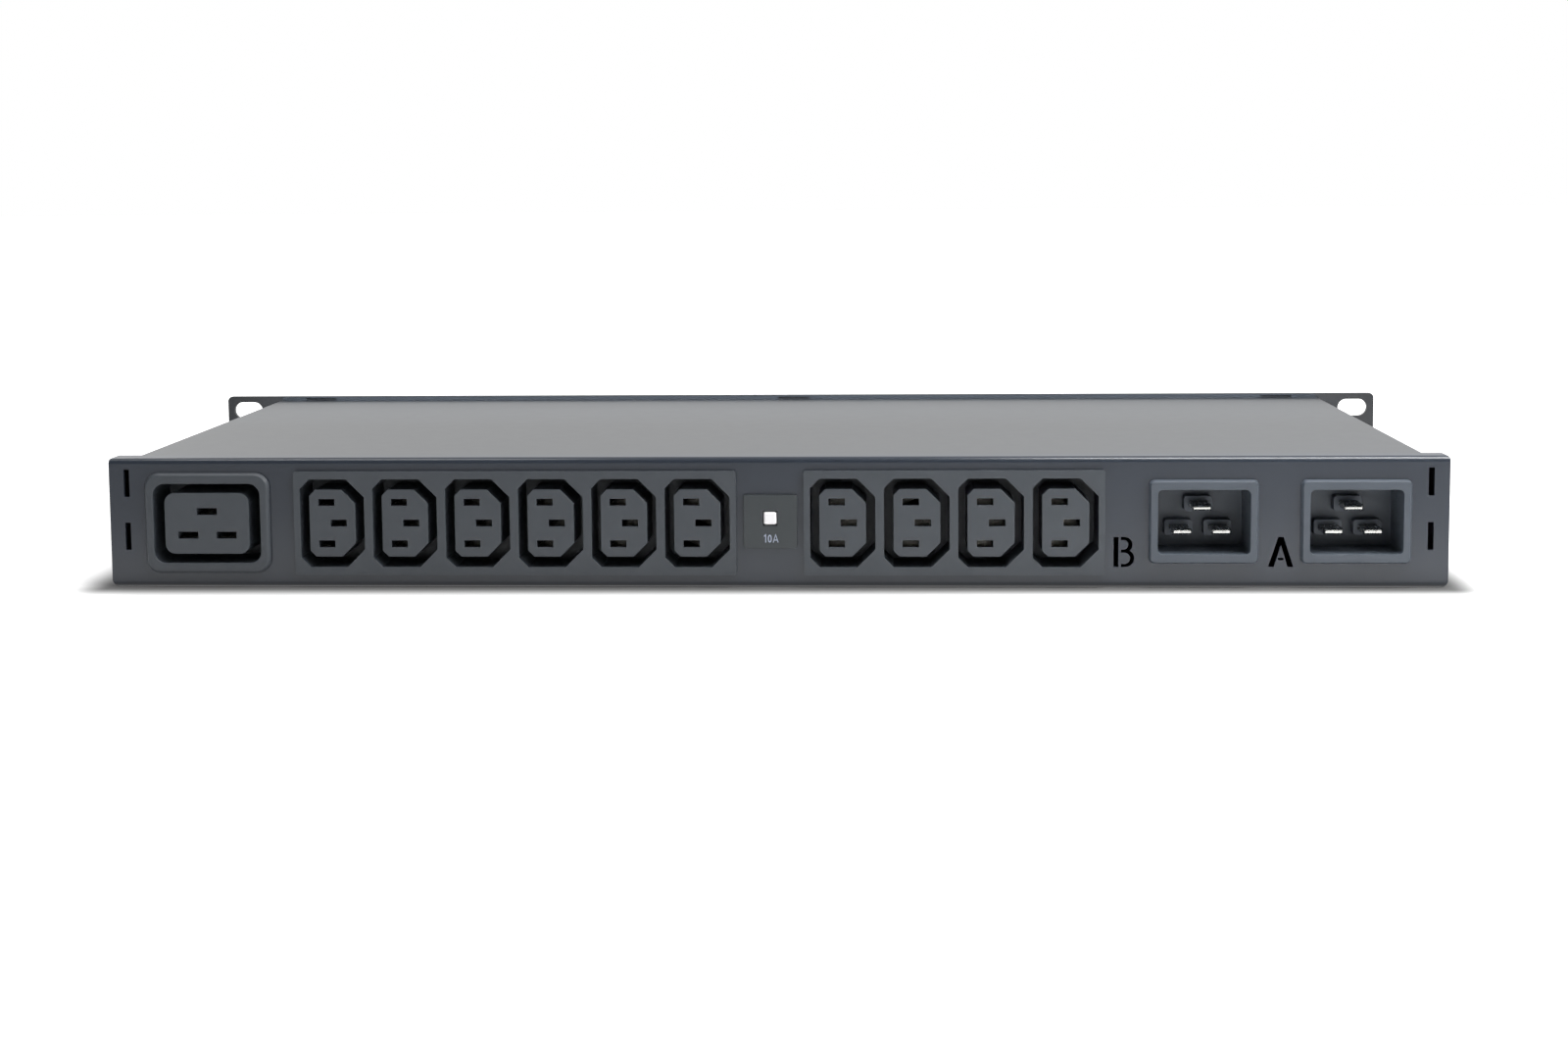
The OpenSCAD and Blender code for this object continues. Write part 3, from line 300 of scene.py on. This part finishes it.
SOFTBOXES = {
    # from the right and from above, for the panel, the outlets and the shadow
    "key": Softbox((1.0, -0.6, 0.4), (0.1, -0.1, 0), (0.9, 0.7), 2.9),
    "top": Softbox((0.5, -0.45, 1.0), (0.1, -0.1, 0), (0.7, 0.3), 5),
    # straight down along the rear panel, stronger at its right half
    "strip_right": Softbox((0.25, -0.14, 0.3), (0.25, -0.14, 0), (0.3, 0.05), 1.2),
    "strip_left": Softbox((-0.2, -0.14, 0.3), (-0.2, -0.14, 0), (0.2, 0.05), 0.3),
    # narrow and low over the lid, for the upstand at its far end
    "upstand": Softbox((0, -0.08, 0.095), (0, 0.1, 0.043), (0.45, 0.02), 0.27),
    # behind the object, for the lid and the front plate
    "back_left": Softbox((-1.1, 1.1, 0.8), (0, 0.1, 0), (0.8, 0.6), 7),
    "back_right": Softbox((1.3, 0.9, 0.8), (0, 0.1, 0), (0.8, 0.6), 4.4),
}
UPSTAND_BEAM = math.radians(30)


def add_softbox(name, box):
    """An area lamp that the camera doesn't see."""
    data = bpy.data.lights.new(name, "AREA")
    data.shape = "RECTANGLE"
    data.size, data.size_y = box.size
    data.energy = box.watts
    lamp = add_object(name, data)
    lamp.visible_camera = False
    place, aim = Vector(box.place), Vector(box.aim)
    look = (aim - place).to_track_quat("-Z", "Y")
    lamp.matrix_world = Matrix.Translation(place) @ look.to_matrix().to_4x4()
    return lamp


def add_lights():
    """All softboxes. Reflections leave out the upstand's, a hot band on the lid otherwise."""
    lamps = {name: add_softbox(name, box) for name, box in SOFTBOXES.items()}
    lamps["upstand"].data.spread = UPSTAND_BEAM
    lamps["upstand"].visible_glossy = False


# ---- parts of a material ----

NOISE_MIDDLE = (0.3, 0.7)       # nearly all of a noise's values lie between these


def srgb(red, green, blue):
    """A colour written as sRGB bytes, as linear values."""
    return tuple(
        c / 255 / 12.92 if c / 255 <= 0.04045 else ((c / 255 + 0.055) / 1.055) ** 2.4
        for c in (red, green, blue)
    )


def scaled(colour, factor):
    """A colour made lighter or darker, as a socket takes it."""
    return tuple(c * factor for c in colour) + (1,)


def start(name, colour, roughness, metallic=0.0):
    """A material with one Principled shader, as (material, tree, shader)."""
    made = bpy.data.materials.new(name)
    made.use_nodes = True
    tree = made.node_tree
    shader = tree.nodes["Principled BSDF"]
    shader.inputs["Base Color"].default_value = scaled(colour, 1)
    shader.inputs["Roughness"].default_value = roughness
    shader.inputs["Metallic"].default_value = metallic
    return made, tree, shader


def noise(tree, grain, detail=2.0, stretch=(1, 1, 1)):
    """Noise with features about one grain across, fixed to the piece."""
    place = tree.nodes.new("ShaderNodeTexCoord")
    scale = tree.nodes.new("ShaderNodeMapping")
    scale.inputs["Scale"].default_value = stretch
    made = tree.nodes.new("ShaderNodeTexNoise")
    made.inputs["Scale"].default_value = 1 / grain
    made.inputs["Detail"].default_value = detail
    tree.links.new(place.outputs["Object"], scale.inputs["Vector"])
    tree.links.new(scale.outputs[0], made.inputs["Vector"])
    return made.outputs["Fac"]


def between(tree, value, low, high):
    """Maps the middle of a noise to the range from low to high."""
    return map_range(tree, value, NOISE_MIDDLE, (low, high))


def vary_colour(tree, shader, colour, value, amount):
    """Lets the colour drift lighter and darker by amount."""
    mix = tree.nodes.new("ShaderNodeMix")
    mix.data_type = "RGBA"
    mix.inputs["A"].default_value = scaled(colour, 1 - amount)
    mix.inputs["B"].default_value = scaled(colour, 1 + amount)
    tree.links.new(between(tree, value, 0, 1), mix.inputs["Factor"])
    tree.links.new(mix.outputs["Result"], shader.inputs["Base Color"])


def add_bump(tree, shader, value, depth):
    """Lets the surface rise and fall by depth."""
    bump = tree.nodes.new("ShaderNodeBump")
    bump.inputs["Strength"].default_value = 1.0
    bump.inputs["Distance"].default_value = depth
    tree.links.new(value, bump.inputs["Height"])
    tree.links.new(bump.outputs["Normal"], shader.inputs["Normal"])


# ---- kinds of material ----

# patch, tint, detail: size, amount and fineness of the drift in colour
# blot, gloss: size and amount of the drift in roughness
# grain, depth: size and height of the relief
Finish = namedtuple("Finish", "patch tint detail blot gloss grain depth")

SPRAYED = Finish(60 * MM, 0.02, 3, 5 * MM, 0.004, 0.8 * MM, 0.0006 * MM)
MOULDED = Finish(9 * MM, 0.04, 2, 2 * MM, 0.05, 0.25 * MM, 0.004 * MM)
PRINTED = MOULDED._replace(grain=0.12 * MM)

METAL_PATCH = 3 * MM
METAL_TINT = 0.06
METAL_MARKS = 0.5 * MM
METAL_DULLER = (-0.07, 0.1)     # roughness off and on the rolling marks
METAL_RELIEF = 0.003 * MM

WINDOW_WAVE = (12 * MM, 0.01 * MM)      # grain and depth
PIPE_WAVE = (0.8 * MM, 0.004 * MM)
PIPE_GLOW_DEPTH = 1.5 * MM

BOARD_TRACKS = 12 * MM
BOARD_RELIEF = 0.03 * MM
TRACK_TINTS = {"Color1": 1.12, "Color2": 1.0, "Mortar": 0.7}


def coated(name, colour, roughness, finish):
    """A coat or moulding whose colour, gloss and surface vary a little."""
    made, tree, shader = start(name, colour, roughness)
    drift = noise(tree, finish.patch, finish.detail)
    vary_colour(tree, shader, colour, drift, finish.tint)
    blots = noise(tree, finish.blot)
    rough = between(tree, blots, roughness - finish.gloss, roughness + finish.gloss)
    tree.links.new(rough, shader.inputs["Roughness"])
    add_bump(tree, shader, noise(tree, finish.grain, 1), finish.depth)
    return made


def powder_coat(name, colour, roughness=0.28):
    """Sprayed powder paint: a fine orange peel over sheet metal."""
    return coated(name, colour, roughness, SPRAYED)


def moulded_plastic(name, colour, roughness=0.45):
    """Moulded plastic with a fine spark-eroded texture."""
    return coated(name, colour, roughness, MOULDED)


def printed_ink(name, colour, roughness=0.5):
    """Thin ink with a finer grain than the plastic under it."""
    return coated(name, colour, roughness, PRINTED)


def plated_metal(name, colour, roughness=0.25, stretch=(1, 1, 1)):
    """Plated or bare metal with fine rolling marks along the short stretch."""
    made, tree, shader = start(name, colour, roughness, metallic=1.0)
    marks = noise(tree, METAL_MARKS, 2, stretch)
    vary_colour(tree, shader, colour, noise(tree, METAL_PATCH), METAL_TINT)
    low, high = (roughness + step for step in METAL_DULLER)
    tree.links.new(between(tree, marks, low, high), shader.inputs["Roughness"])
    add_bump(tree, shader, marks, METAL_RELIEF)
    return made


def smoked_window(name):
    """A clear acrylic cover, a little grey and not quite flat."""
    made, tree, shader = start(name, srgb(176, 182, 186), 0.06)
    shader.inputs["Transmission Weight"].default_value = 0.9
    shader.inputs["IOR"].default_value = 1.49
    grain, depth = WINDOW_WAVE
    add_bump(tree, shader, noise(tree, grain, 1), depth)
    return made


def light_pipe(name):
    """A milky plastic rod end that lets light through."""
    made, tree, shader = start(name, srgb(214, 222, 214), 0.22)
    shader.inputs["Transmission Weight"].default_value = 0.35
    shader.inputs["Subsurface Weight"].default_value = 0.4
    shader.inputs["Subsurface Scale"].default_value = PIPE_GLOW_DEPTH
    grain, depth = PIPE_WAVE
    add_bump(tree, shader, noise(tree, grain, 1), depth)
    return made


def circuit_board(name):
    """Solder mask with a faint pattern of tracks under it."""
    green = srgb(26, 74, 48)
    made, tree, shader = start(name, green, 0.34)
    place = tree.nodes.new("ShaderNodeTexCoord")
    tracks = tree.nodes.new("ShaderNodeTexBrick")
    tracks.inputs["Scale"].default_value = 1 / BOARD_TRACKS
    for socket, factor in TRACK_TINTS.items():
        tracks.inputs[socket].default_value = scaled(green, factor)
    tree.links.new(place.outputs["Object"], tracks.inputs["Vector"])
    tree.links.new(tracks.outputs["Color"], shader.inputs["Base Color"])
    add_bump(tree, shader, tracks.outputs["Fac"], BOARD_RELIEF)
    return made


# ---- materials of the nodes ----

ROLLED_ALONG_Y = (1, 0.1, 1)
ROLLED_ALONG_Z = (1, 1, 0.2)


def make_materials():
    """One material for each of the record's slots."""
    return {
        "case_black": powder_coat("case_paint", srgb(41, 45, 50)),
        "panel_grey": powder_coat("panel_paint", srgb(44, 50, 60)),
        "front_black": powder_coat("front_paint", srgb(30, 32, 35)),
        "screw_black": plated_metal("screw_metal", srgb(72, 74, 78), 0.34),
        "outlet_plastic": moulded_plastic("outlet_plastic", srgb(63, 68, 74)),
        "inlet_plastic": moulded_plastic("inlet_plastic", srgb(73, 80, 89)),
        "contact_metal": plated_metal("contact_metal", srgb(202, 200, 196), 0.3),
        "pin_metal": plated_metal("pin_metal", srgb(196, 196, 192), 0.22, ROLLED_ALONG_Y),
        "breaker_plastic": moulded_plastic("breaker_plastic", srgb(52, 57, 60)),
        "button_white": moulded_plastic("button_plastic", srgb(254, 253, 254), 0.35),
        "window": smoked_window("window_plastic"),
        "display": moulded_plastic("display_glass", srgb(118, 132, 108), 0.2),
        "key_plastic": moulded_plastic("key_plastic", srgb(88, 92, 96), 0.4),
        "light_pipe": light_pipe("light_pipe"),
        "jack_shield": plated_metal("jack_metal", srgb(158, 160, 162), 0.42, ROLLED_ALONG_Z),
        "jack_gold": plated_metal("jack_gold", srgb(226, 180, 96), 0.22),
        "board": circuit_board("board_mask"),
        "standoff_metal": plated_metal("standoff_metal", srgb(200, 200, 196), 0.3),
        "aluminium": plated_metal("aluminium", srgb(190, 192, 194), 0.38, ROLLED_ALONG_Y),
        "part_black": moulded_plastic("part_plastic", srgb(40, 41, 43)),
        "capacitor_yellow": moulded_plastic("capacitor_plastic", srgb(196, 168, 60)),
    }


def dress_nodes(materials):
    """Gives every CAD node the material of its slot."""
    for row in frame["record"]["subparts"]:
        node = nodes[row["node"]]
        node.data.materials.clear()
        node.data.materials.append(materials[row["material_slot"]])


# ---- edges ----

# how wide the sharp edges of the nodes in view are rounded, in millimetres
SOFT_EDGES = {
    "rear_panel": 0.16, "lid": 0.16, "base_tray": 0.16, "front_plate": 0.2,
    "c19_housing": 0.6, "c19_core": 0.55,
    "c13_left_housing": 0.3, "c13_right_housing": 0.3,
    "c13_left_cores": 0.4, "c13_right_cores": 0.4,
    "inlet_a_housing": 0.5, "inlet_b_housing": 0.5,
    "inlet_a_pins": 0.25, "inlet_b_pins": 0.25,
    "breaker_body": 0.5, "breaker_button": 0.6,
    "display_window": 0.4, "key_left": 0.35, "key_right": 0.35,
    "network_jack": 0.2, "status_lights": 0.25,
}
SAME_CORNER = 0.0005 * MM
FLAT_ANGLE = math.radians(0.4)
EDGE_ANGLE = math.radians(32)
EDGE_SEGMENTS = 3
LARGE_FACES_WEIGHT = 60     # keeps broad faces flat in their shading


def add_bevel(piece, width, segments, angle):
    """Rounds the edges that are sharper than angle over by width."""
    bevel = piece.modifiers.new("bevel", "BEVEL")
    bevel.width = width
    bevel.segments = segments
    bevel.limit_method = "ANGLE"
    bevel.angle_limit = angle


def soften(node, width):
    """Rounds a node's sharp edges over by width and shades it smoothly."""
    weld = node.modifiers.new("weld", "WELD")
    weld.merge_threshold = SAME_CORNER
    flat = node.modifiers.new("flat", "DECIMATE")
    flat.decimate_type = "DISSOLVE"
    flat.angle_limit = FLAT_ANGLE
    add_bevel(node, width, EDGE_SEGMENTS, EDGE_ANGLE)
    normals = node.modifiers.new("normals", "WEIGHTED_NORMAL")
    normals.weight = LARGE_FACES_WEIGHT
    normals.keep_sharp = False


# ---- screws ----

SCREW_NODES = ("case_screws", "front_screws", "foot_screws")
SCREW_SHANK = 3 * MM
SCREW_FACETS = 36
SCREW_TURN = (11, 37)       # degrees: the first screw's turn, and from each to the next
SCREW_BEVEL = 0.06 * MM
SCREW_BEVEL_SEGMENTS = 2
SCREW_BEVEL_ANGLE = math.radians(50)
HEAD_RIM = (0.12 * MM, 0.1 * MM)        # width and height of the chamfer round a head
TIP_LENGTH = 0.4 * MM
THREAD_PITCH = 0.5 * MM
THREAD_DEPTH = 0.16 * MM
ROWS_PER_PITCH = 5
RECESS_SPAN = 0.62          # cross recess, as a share of the head's diameter
RECESS_SLOT = 0.8 * MM
# height over the head's face, and how wide the recess is there
RECESS_BOTTOM = (-0.95 * MM, 0.72)
RECESS_TOP = (0.5 * MM, 1.1)
SQUARE = ((-1, -1), (1, -1), (1, 1), (-1, 1))
BLOCK_FACES = ((3, 2, 1, 0), (4, 5, 6, 7), (0, 1, 5, 4), (1, 2, 6, 5), (2, 3, 7, 6), (3, 0, 4, 7))
ISLAND_GAP = 0.001 * MM
SORT_DIGITS = 5


def grow(seed, left):
    """Every corner that edges join to the seed, taken out of those left."""
    group = [seed]
    for vert in group:
        for edge in vert.link_edges:
            other = edge.other_vert(vert)
            if other in left:
                left.remove(other)
                group.append(other)
    return group


def islands(mesh):
    """The lowest and highest corner of each separate solid in a mesh."""
    work = bmesh.new()
    work.from_mesh(mesh)
    bmesh.ops.remove_doubles(work, verts=work.verts, dist=ISLAND_GAP)
    left = set(work.verts)
    boxes = []
    while left:
        places = [vert.co for vert in grow(left.pop(), left)]
        boxes.append([Vector(pick(place[i] for place in places) for i in range(3))
                      for pick in (min, max)])
    work.free()
    return sorted(boxes, key=lambda box: tuple(round(c, SORT_DIGITS) for c in box[0]))


def lathe(rings, facets):
    """A closed solid from rings, each a function of the angle to (radius, height)."""
    verts, faces = [], []
    for ring in rings:
        for i in range(facets):
            angle = 2 * math.pi * i / facets
            radius, height = ring(angle)
            verts.append((radius * math.cos(angle), radius * math.sin(angle), height))
    for row in range(len(rings) - 1):
        for i in range(facets):
            j = (i + 1) % facets
            a, b = row * facets, (row + 1) * facets
            faces.append((a + i, b + i, b + j, a + j))
    faces.append(tuple(range(facets)))
    last = (len(rings) - 1) * facets
    faces.append(tuple(last + i for i in reversed(range(facets))))
    return verts, faces


def plain_ring(radius, height):
    """A ring with the same radius all round."""
    return lambda angle: (radius, height)


def thread_ring(shank, height):
    """A ring of the helical thread: its radius rises and falls once a turn."""
    def ring(angle):
        phase = (height / THREAD_PITCH - angle / (2 * math.pi)) % 1
        return shank / 2 - THREAD_DEPTH * abs(2 * phase - 1), height
    return ring


def screw_rings(head, shank, length):
    """Rings of a countersunk screw from its head at height 0 down to its tip."""
    rim_width, rim_height = HEAD_RIM
    neck = -(head - shank) / 2
    rings = [
        plain_ring(head / 2 - rim_width, 0),
        plain_ring(head / 2, -rim_height),
        plain_ring(shank / 2, neck),
    ]
    height = neck - THREAD_PITCH / 2
    while height > -length + TIP_LENGTH:
        rings.append(thread_ring(shank, height))
        height -= THREAD_PITCH / ROWS_PER_PITCH
    rings.append(plain_ring(shank / 2 - 2 * THREAD_DEPTH, -length))
    return rings


def recess_solid(head):
    """The cutter of a cross recess: two crossed wedges that narrow downwards."""
    half, slot = head * RECESS_SPAN / 2, RECESS_SLOT / 2
    work = bmesh.new()
    for wide, deep in ((half, slot), (slot, half)):
        corners = [
            work.verts.new((x * wide * share, y * deep * share, height))
            for height, share in (RECESS_BOTTOM, RECESS_TOP)
            for x, y in SQUARE
        ]
        for face in BLOCK_FACES:
            work.faces.new([corners[i] for i in face])
    mesh = bpy.data.meshes.new("recess")
    work.to_mesh(mesh)
    work.free()
    return mesh


def screw_mesh(head, shank, length):
    """A screw with its cross recess cut, head up at the origin."""
    verts, faces = lathe(screw_rings(head, shank, length), SCREW_FACETS)
    mesh = bpy.data.meshes.new("screw")
    mesh.from_pydata(verts, [], faces)
    mesh.update()
    body = add_object("screw", mesh)
    cutter = add_object("recess", recess_solid(head))
    cut = body.modifiers.new("recess", "BOOLEAN")
    cut.object = cutter
    cut.solver = "EXACT"
    cut.use_self = True
    evaluated = body.evaluated_get(bpy.context.evaluated_depsgraph_get())
    done = bpy.data.meshes.new_from_object(evaluated)
    for made in (body, cutter):
        bpy.data.objects.remove(made)
    return done


def screw_pose(box, case):
    """Where a screw's head lies and which way it faces, its diameter and length."""
    low, high = box
    size = high - low
    across = sorted(size)[1]
    axis = max(range(3), key=lambda i: abs(size[i] - across))
    middle = (low + high) / 2
    outward = Vector((0, 0, 0))
    outward[axis] = 1 if middle[axis] > case[axis] else -1
    top = middle.copy()
    top[axis] = high[axis] if outward[axis] > 0 else low[axis]
    turn = outward.to_track_quat("Z", "Y").to_matrix().to_4x4()
    return Matrix.Translation(top) @ turn, across, size[axis]


def screw_group(name, material):
    """Detailed screws at the places of a CAD node's plain ones, as one mesh."""
    low, high = (Vector(corner) for corner in cad_box)
    case = (low + high) / 2
    first, step = SCREW_TURN
    parts = bmesh.new()
    for index, box in enumerate(islands(nodes[name].data)):
        place, head, length = screw_pose(box, case)
        mesh = screw_mesh(head, SCREW_SHANK, length)
        mesh.transform(place @ Matrix.Rotation(math.radians(first + step * index), 4, "Z"))
        parts.from_mesh(mesh)
        bpy.data.meshes.remove(mesh)
    group = bpy.data.meshes.new(f"cross_{name}")
    parts.to_mesh(group)
    parts.free()
    group.materials.append(material)
    return group


def add_screws(material):
    """Cross-recessed, threaded screws in place of the plain CAD ones."""
    for name in SCREW_NODES:
        piece = add_object(f"cross_{name}", screw_group(name, material))
        add_bevel(piece, SCREW_BEVEL, SCREW_BEVEL_SEGMENTS, SCREW_BEVEL_ANGLE)
        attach(piece, body_of(nodes[name])[0])
        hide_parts(name)


# ---- rating print on the breaker ----

PRINT_HEIGHT = 2.6 * MM
PRINT_STROKE = 0.34 * MM
PRINT_PROUD = 0.03 * MM
PRINT_DROP = 0.31           # below the bezel's middle, as a share of its height
PRINT_SHIFT = 0.3 * MM      # to the right of the bezel's middle
PRINT_INK = srgb(176, 184, 204)
# 1, 0 and A: each sign's width and its strokes, as shares of the print's height
PRINT_SIGNS = (
    (0.28, [[(0.0, 0.78), (0.2, 1.0), (0.2, 0.0)]]),
    (0.50, "ring"),
    (0.62, [[(0.0, 0.0), (0.31, 1.0), (0.62, 0.0)], [(0.12, 0.32), (0.5, 0.32)]]),
)
PRINT_GAP = 0.19
RING_STEPS = 24
LEAST_LEAN = 0.5            # a mitre is at most twice the stroke's width


def ribbon(points, width, closed):
    """Left and right edge points of a stroke along points, with mitred corners."""
    count = len(points)
    left, right = [], []
    for i, point in enumerate(points):
        back = points[i - 1] if closed or i else None
        ahead = points[(i + 1) % count] if closed or i < count - 1 else None
        ways = [(b - a).normalized() for a, b in ((back, point), (point, ahead))
                if a is not None and b is not None]
        normal = sum((Vector((-way.y, way.x)) for way in ways), Vector((0, 0))).normalized()
        lean = normal.dot(Vector((-ways[0].y, ways[0].x)))
        step = normal * (width / 2 / max(lean, LEAST_LEAN))
        left.append(point + step)
        right.append(point - step)
    return left, right


def add_stroke(work, points, closed):
    """Adds one printed stroke as a thin closed plate; x runs right and z up."""
    sides = ribbon([Vector(p) for p in points], PRINT_STROKE, closed)
    front = [[work.verts.new((p.x, -PRINT_PROUD, p.y)) for p in side] for side in sides]
    back = [[work.verts.new((p.x, 0, p.y)) for p in side] for side in sides]
    count = len(points)
    for i in range(count if closed else count - 1):
        j = (i + 1) % count
        work.faces.new((front[0][i], front[0][j], front[1][j], front[1][i]))
        work.faces.new((back[1][i], back[1][j], back[0][j], back[0][i]))
        work.faces.new((front[0][j], front[0][i], back[0][i], back[0][j]))
        work.faces.new((front[1][i], front[1][j], back[1][j], back[1][i]))
    if not closed:
        for i, a, b in ((0, 0, 1), (count - 1, 1, 0)):
            work.faces.new((front[a][i], front[b][i], back[b][i], back[a][i]))


def sign_strokes(width, strokes):
    """A sign's strokes, each with whether it is closed."""
    if strokes != "ring":
        return [(points, False) for points in strokes]
    inset = PRINT_STROKE / PRINT_HEIGHT / 2
    angles = [2 * math.pi * i / RING_STEPS for i in range(RING_STEPS)]
    ring = [(width / 2 + (width / 2 - inset) * math.sin(a), 0.5 + (0.5 - inset) * math.cos(a))
            for a in angles]
    return [(ring, True)]


def print_mesh(x, y, z):
    """The print's signs side by side, with their middle at the place given."""
    work = bmesh.new()
    at = -(sum(width for width, _ in PRINT_SIGNS) + PRINT_GAP * (len(PRINT_SIGNS) - 1)) / 2
    for width, strokes in PRINT_SIGNS:
        for points, closed in sign_strokes(width, strokes):
            placed = [(x + (at + across) * PRINT_HEIGHT, z + (up - 0.5) * PRINT_HEIGHT)
                      for across, up in points]
            add_stroke(work, placed, closed)
        at += width + PRINT_GAP
    bmesh.ops.recalc_face_normals(work, faces=work.faces)
    bmesh.ops.translate(work, verts=work.verts, vec=(0, y, 0))
    mesh = bpy.data.meshes.new("rating_print")
    work.to_mesh(mesh)
    work.free()
    return mesh


def add_print(material):
    """A plain 10A rating, printed under the breaker's button."""
    low, high = (Vector(corner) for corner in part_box("breaker_body"))
    middle = (low + high) / 2
    drop = PRINT_DROP * (high.z - low.z)
    mesh = print_mesh(middle.x + PRINT_SHIFT, low.y, middle.z - drop)
    mesh.materials.append(material)
    piece = add_object("rating_print", mesh)
    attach(piece, body_of(nodes["breaker_body"])[0])


# ---- the scene ----

add_camera()
add_floor()
add_world()
add_lights()
bpy.context.scene.view_settings.view_transform = "Standard"
materials = make_materials()
dress_nodes(materials)
add_screws(materials["screw_black"])
add_print(printed_ink("print_ink", PRINT_INK))
for name, width in SOFT_EDGES.items():
    soften(nodes[name], width * MM)
